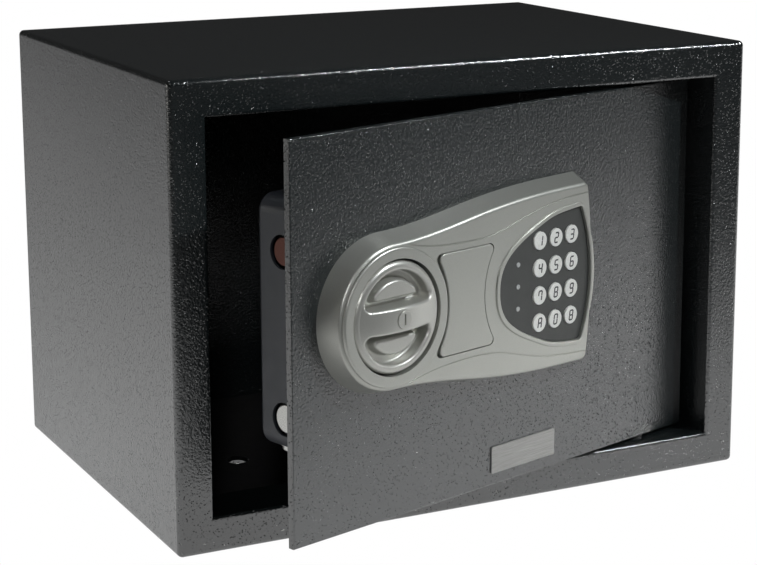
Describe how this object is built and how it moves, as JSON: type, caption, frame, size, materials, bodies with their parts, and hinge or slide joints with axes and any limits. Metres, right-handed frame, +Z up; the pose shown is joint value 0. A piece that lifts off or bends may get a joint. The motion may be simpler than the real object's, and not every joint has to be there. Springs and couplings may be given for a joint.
{
  "type": "electronic safe deposit box",
  "caption": "Small steel safe with a folded housing, hinged door, knob-driven bolts, numbered key panel and emergency key lock.",
  "frame": {"origin": "centre of the underside of the housing", "axes": "+X to the right seen from the front, +Y from the front to the back, +Z up"},
  "size_m": [0.35, 0.3247, 0.25],
  "materials": {
    "powder_coat": "textured powder coat",
    "panel_silver": "satin metallic paint",
    "keypad_grey": "fine matt",
    "key_white": "satin",
    "lamp_clear": "clear moulding",
    "cover_slate": "smooth",
    "zinc_plate": "bright zinc",
    "steel_plate": "zinc plated sheet",
    "name_plate": "brushed",
    "lock_brass": "turned",
    "nickel": "nickel plate",
    "nylon": "black nylon",
    "contact_rubber": "silicone",
    "board_green": "solder mask",
    "component_black": "moulded",
    "coil_winding": "wound enamelled wire",
    "cell_wrap": "wrapped cell",
    "felt": "needle felt",
    "lead_cover": "insulation",
    "reset_red": "moulded"
  },
  "bodies": {
    "housing": {"body_shell": "powder_coat", "front_frame": "powder_coat", "back_panel": "powder_coat", "floor_mat": "felt", "hinge_bushes": "nylon"},
    "door": {"door_plate": "powder_coat", "hinge_knuckles": "powder_coat", "hinge_pins": "steel_plate", "panel_housing": "panel_silver", "panel_screws": "zinc_plate", "spindle_bush": "nylon", "keypad_plate": "keypad_grey", "keypad_pad": "contact_rubber", "keypad_board": "board_green", "indicator_lamps": "lamp_clear", "override_body": "nickel", "override_nut": "steel_plate", "lock_base": "steel_plate", "guide_posts": "zinc_plate", "weld_studs": "steel_plate", "base_nuts": "zinc_plate", "solenoid_frame": "steel_plate", "solenoid_coil": "coil_winding", "solenoid_spring": "zinc_plate", "control_board": "board_green", "board_spacers": "nylon", "board_parts": "component_black", "keypad_lead": "lead_cover", "power_leads": "lead_cover", "battery_tray": "component_black", "batteries": "cell_wrap", "battery_contacts": "nickel", "lock_cover": "cover_slate", "cover_screws": "zinc_plate", "badge_plate": "name_plate"},
    "knob": {"knob": "panel_silver", "knob_cap": "panel_silver", "knob_spindle": "steel_plate"},
    "bolt_work": {"bolt_carriage": "steel_plate", "bolt_upper": "zinc_plate", "bolt_lower": "zinc_plate"},
    "override_cover": {"override_cover": "panel_silver"},
    "key_plug": {"key_plug": "lock_brass"},
    "plunger": {"solenoid_plunger": "steel_plate", "plunger_lifter": "steel_plate"},
    "reset_button": {"reset_button": "reset_red"},
    "battery_lid": {"battery_lid": "cover_slate"},
    "key_1": {"key_1": "key_white"},
    "key_2": {"key_2": "key_white"},
    "key_3": {"key_3": "key_white"},
    "key_4": {"key_4": "key_white"},
    "key_5": {"key_5": "key_white"},
    "key_6": {"key_6": "key_white"},
    "key_7": {"key_7": "key_white"},
    "key_8": {"key_8": "key_white"},
    "key_9": {"key_9": "key_white"},
    "key_a": {"key_a": "key_white"},
    "key_0": {"key_0": "key_white"},
    "key_b": {"key_b": "key_white"}
  },
  "joints": [
    {"name": "door_hinge", "type": "hinge", "parent": "housing", "child": "door", "pos_m": [0.113, -0.107, 0.125], "axis": [0, 0, 1], "range_deg": [-16.5, 95]},
    {"name": "knob_turn", "type": "hinge", "parent": "door", "child": "knob", "pos_m": [-0.08455, -0.17595, 0.133], "axis": [0.284, -0.9588, 0], "range_deg": [0, 90]},
    {"name": "bolt_slide", "type": "slide", "parent": "door", "child": "bolt_work", "axis": [-0.9588, -0.284, 0], "range_m": [0, 0.018]},
    {"name": "override_cover_lift", "type": "slide", "parent": "door", "child": "override_cover", "axis": [0.284, -0.9588, 0], "range_m": [0, 0.012]},
    {"name": "key_plug_turn", "type": "hinge", "parent": "door", "child": "key_plug", "pos_m": [-0.03422, -0.16104, 0.133], "axis": [0.284, -0.9588, 0], "range_deg": [0, 90]},
    {"name": "plunger_slide", "type": "slide", "parent": "door", "child": "plunger", "axis": [0, 0, 1], "range_m": [0, 0.00495], "stiffness_N_per_m": 60, "springref_m": -0.01, "deforming": ["solenoid_spring"]},
    {"name": "reset_press", "type": "slide", "parent": "door", "child": "reset_button", "axis": [0.284, -0.9588, 0], "range_m": [0, 0.0015], "stiffness_N_per_m": 500},
    {"name": "battery_lid_lift", "type": "slide", "parent": "door", "child": "battery_lid", "axis": [-0.284, 0.9588, 0], "range_m": [0, 0.012]},
    {"name": "key_1_press", "type": "slide", "parent": "door", "child": "key_1", "axis": [-0.284, 0.9588, 0], "range_m": [0, 0.0008], "stiffness_N_per_m": 800},
    {"name": "key_2_press", "type": "slide", "parent": "door", "child": "key_2", "axis": [-0.284, 0.9588, 0], "range_m": [0, 0.0008], "stiffness_N_per_m": 800},
    {"name": "key_3_press", "type": "slide", "parent": "door", "child": "key_3", "axis": [-0.284, 0.9588, 0], "range_m": [0, 0.0008], "stiffness_N_per_m": 800},
    {"name": "key_4_press", "type": "slide", "parent": "door", "child": "key_4", "axis": [-0.284, 0.9588, 0], "range_m": [0, 0.0008], "stiffness_N_per_m": 800},
    {"name": "key_5_press", "type": "slide", "parent": "door", "child": "key_5", "axis": [-0.284, 0.9588, 0], "range_m": [0, 0.0008], "stiffness_N_per_m": 800},
    {"name": "key_6_press", "type": "slide", "parent": "door", "child": "key_6", "axis": [-0.284, 0.9588, 0], "range_m": [0, 0.0008], "stiffness_N_per_m": 800},
    {"name": "key_7_press", "type": "slide", "parent": "door", "child": "key_7", "axis": [-0.284, 0.9588, 0], "range_m": [0, 0.0008], "stiffness_N_per_m": 800},
    {"name": "key_8_press", "type": "slide", "parent": "door", "child": "key_8", "axis": [-0.284, 0.9588, 0], "range_m": [0, 0.0008], "stiffness_N_per_m": 800},
    {"name": "key_9_press", "type": "slide", "parent": "door", "child": "key_9", "axis": [-0.284, 0.9588, 0], "range_m": [0, 0.0008], "stiffness_N_per_m": 800},
    {"name": "key_a_press", "type": "slide", "parent": "door", "child": "key_a", "axis": [-0.284, 0.9588, 0], "range_m": [0, 0.0008], "stiffness_N_per_m": 800},
    {"name": "key_0_press", "type": "slide", "parent": "door", "child": "key_0", "axis": [-0.284, 0.9588, 0], "range_m": [0, 0.0008], "stiffness_N_per_m": 800},
    {"name": "key_b_press", "type": "slide", "parent": "door", "child": "key_b", "axis": [-0.284, 0.9588, 0], "range_m": [0, 0.0008], "stiffness_N_per_m": 800}
  ],
  "couplings": [
    {"joint": "knob_turn", "follows": "bolt_slide", "rad_per_m": 87.266},
    {"joint": "key_plug_turn", "follows": "plunger_slide", "rad_per_m": 317.35}
  ]
}
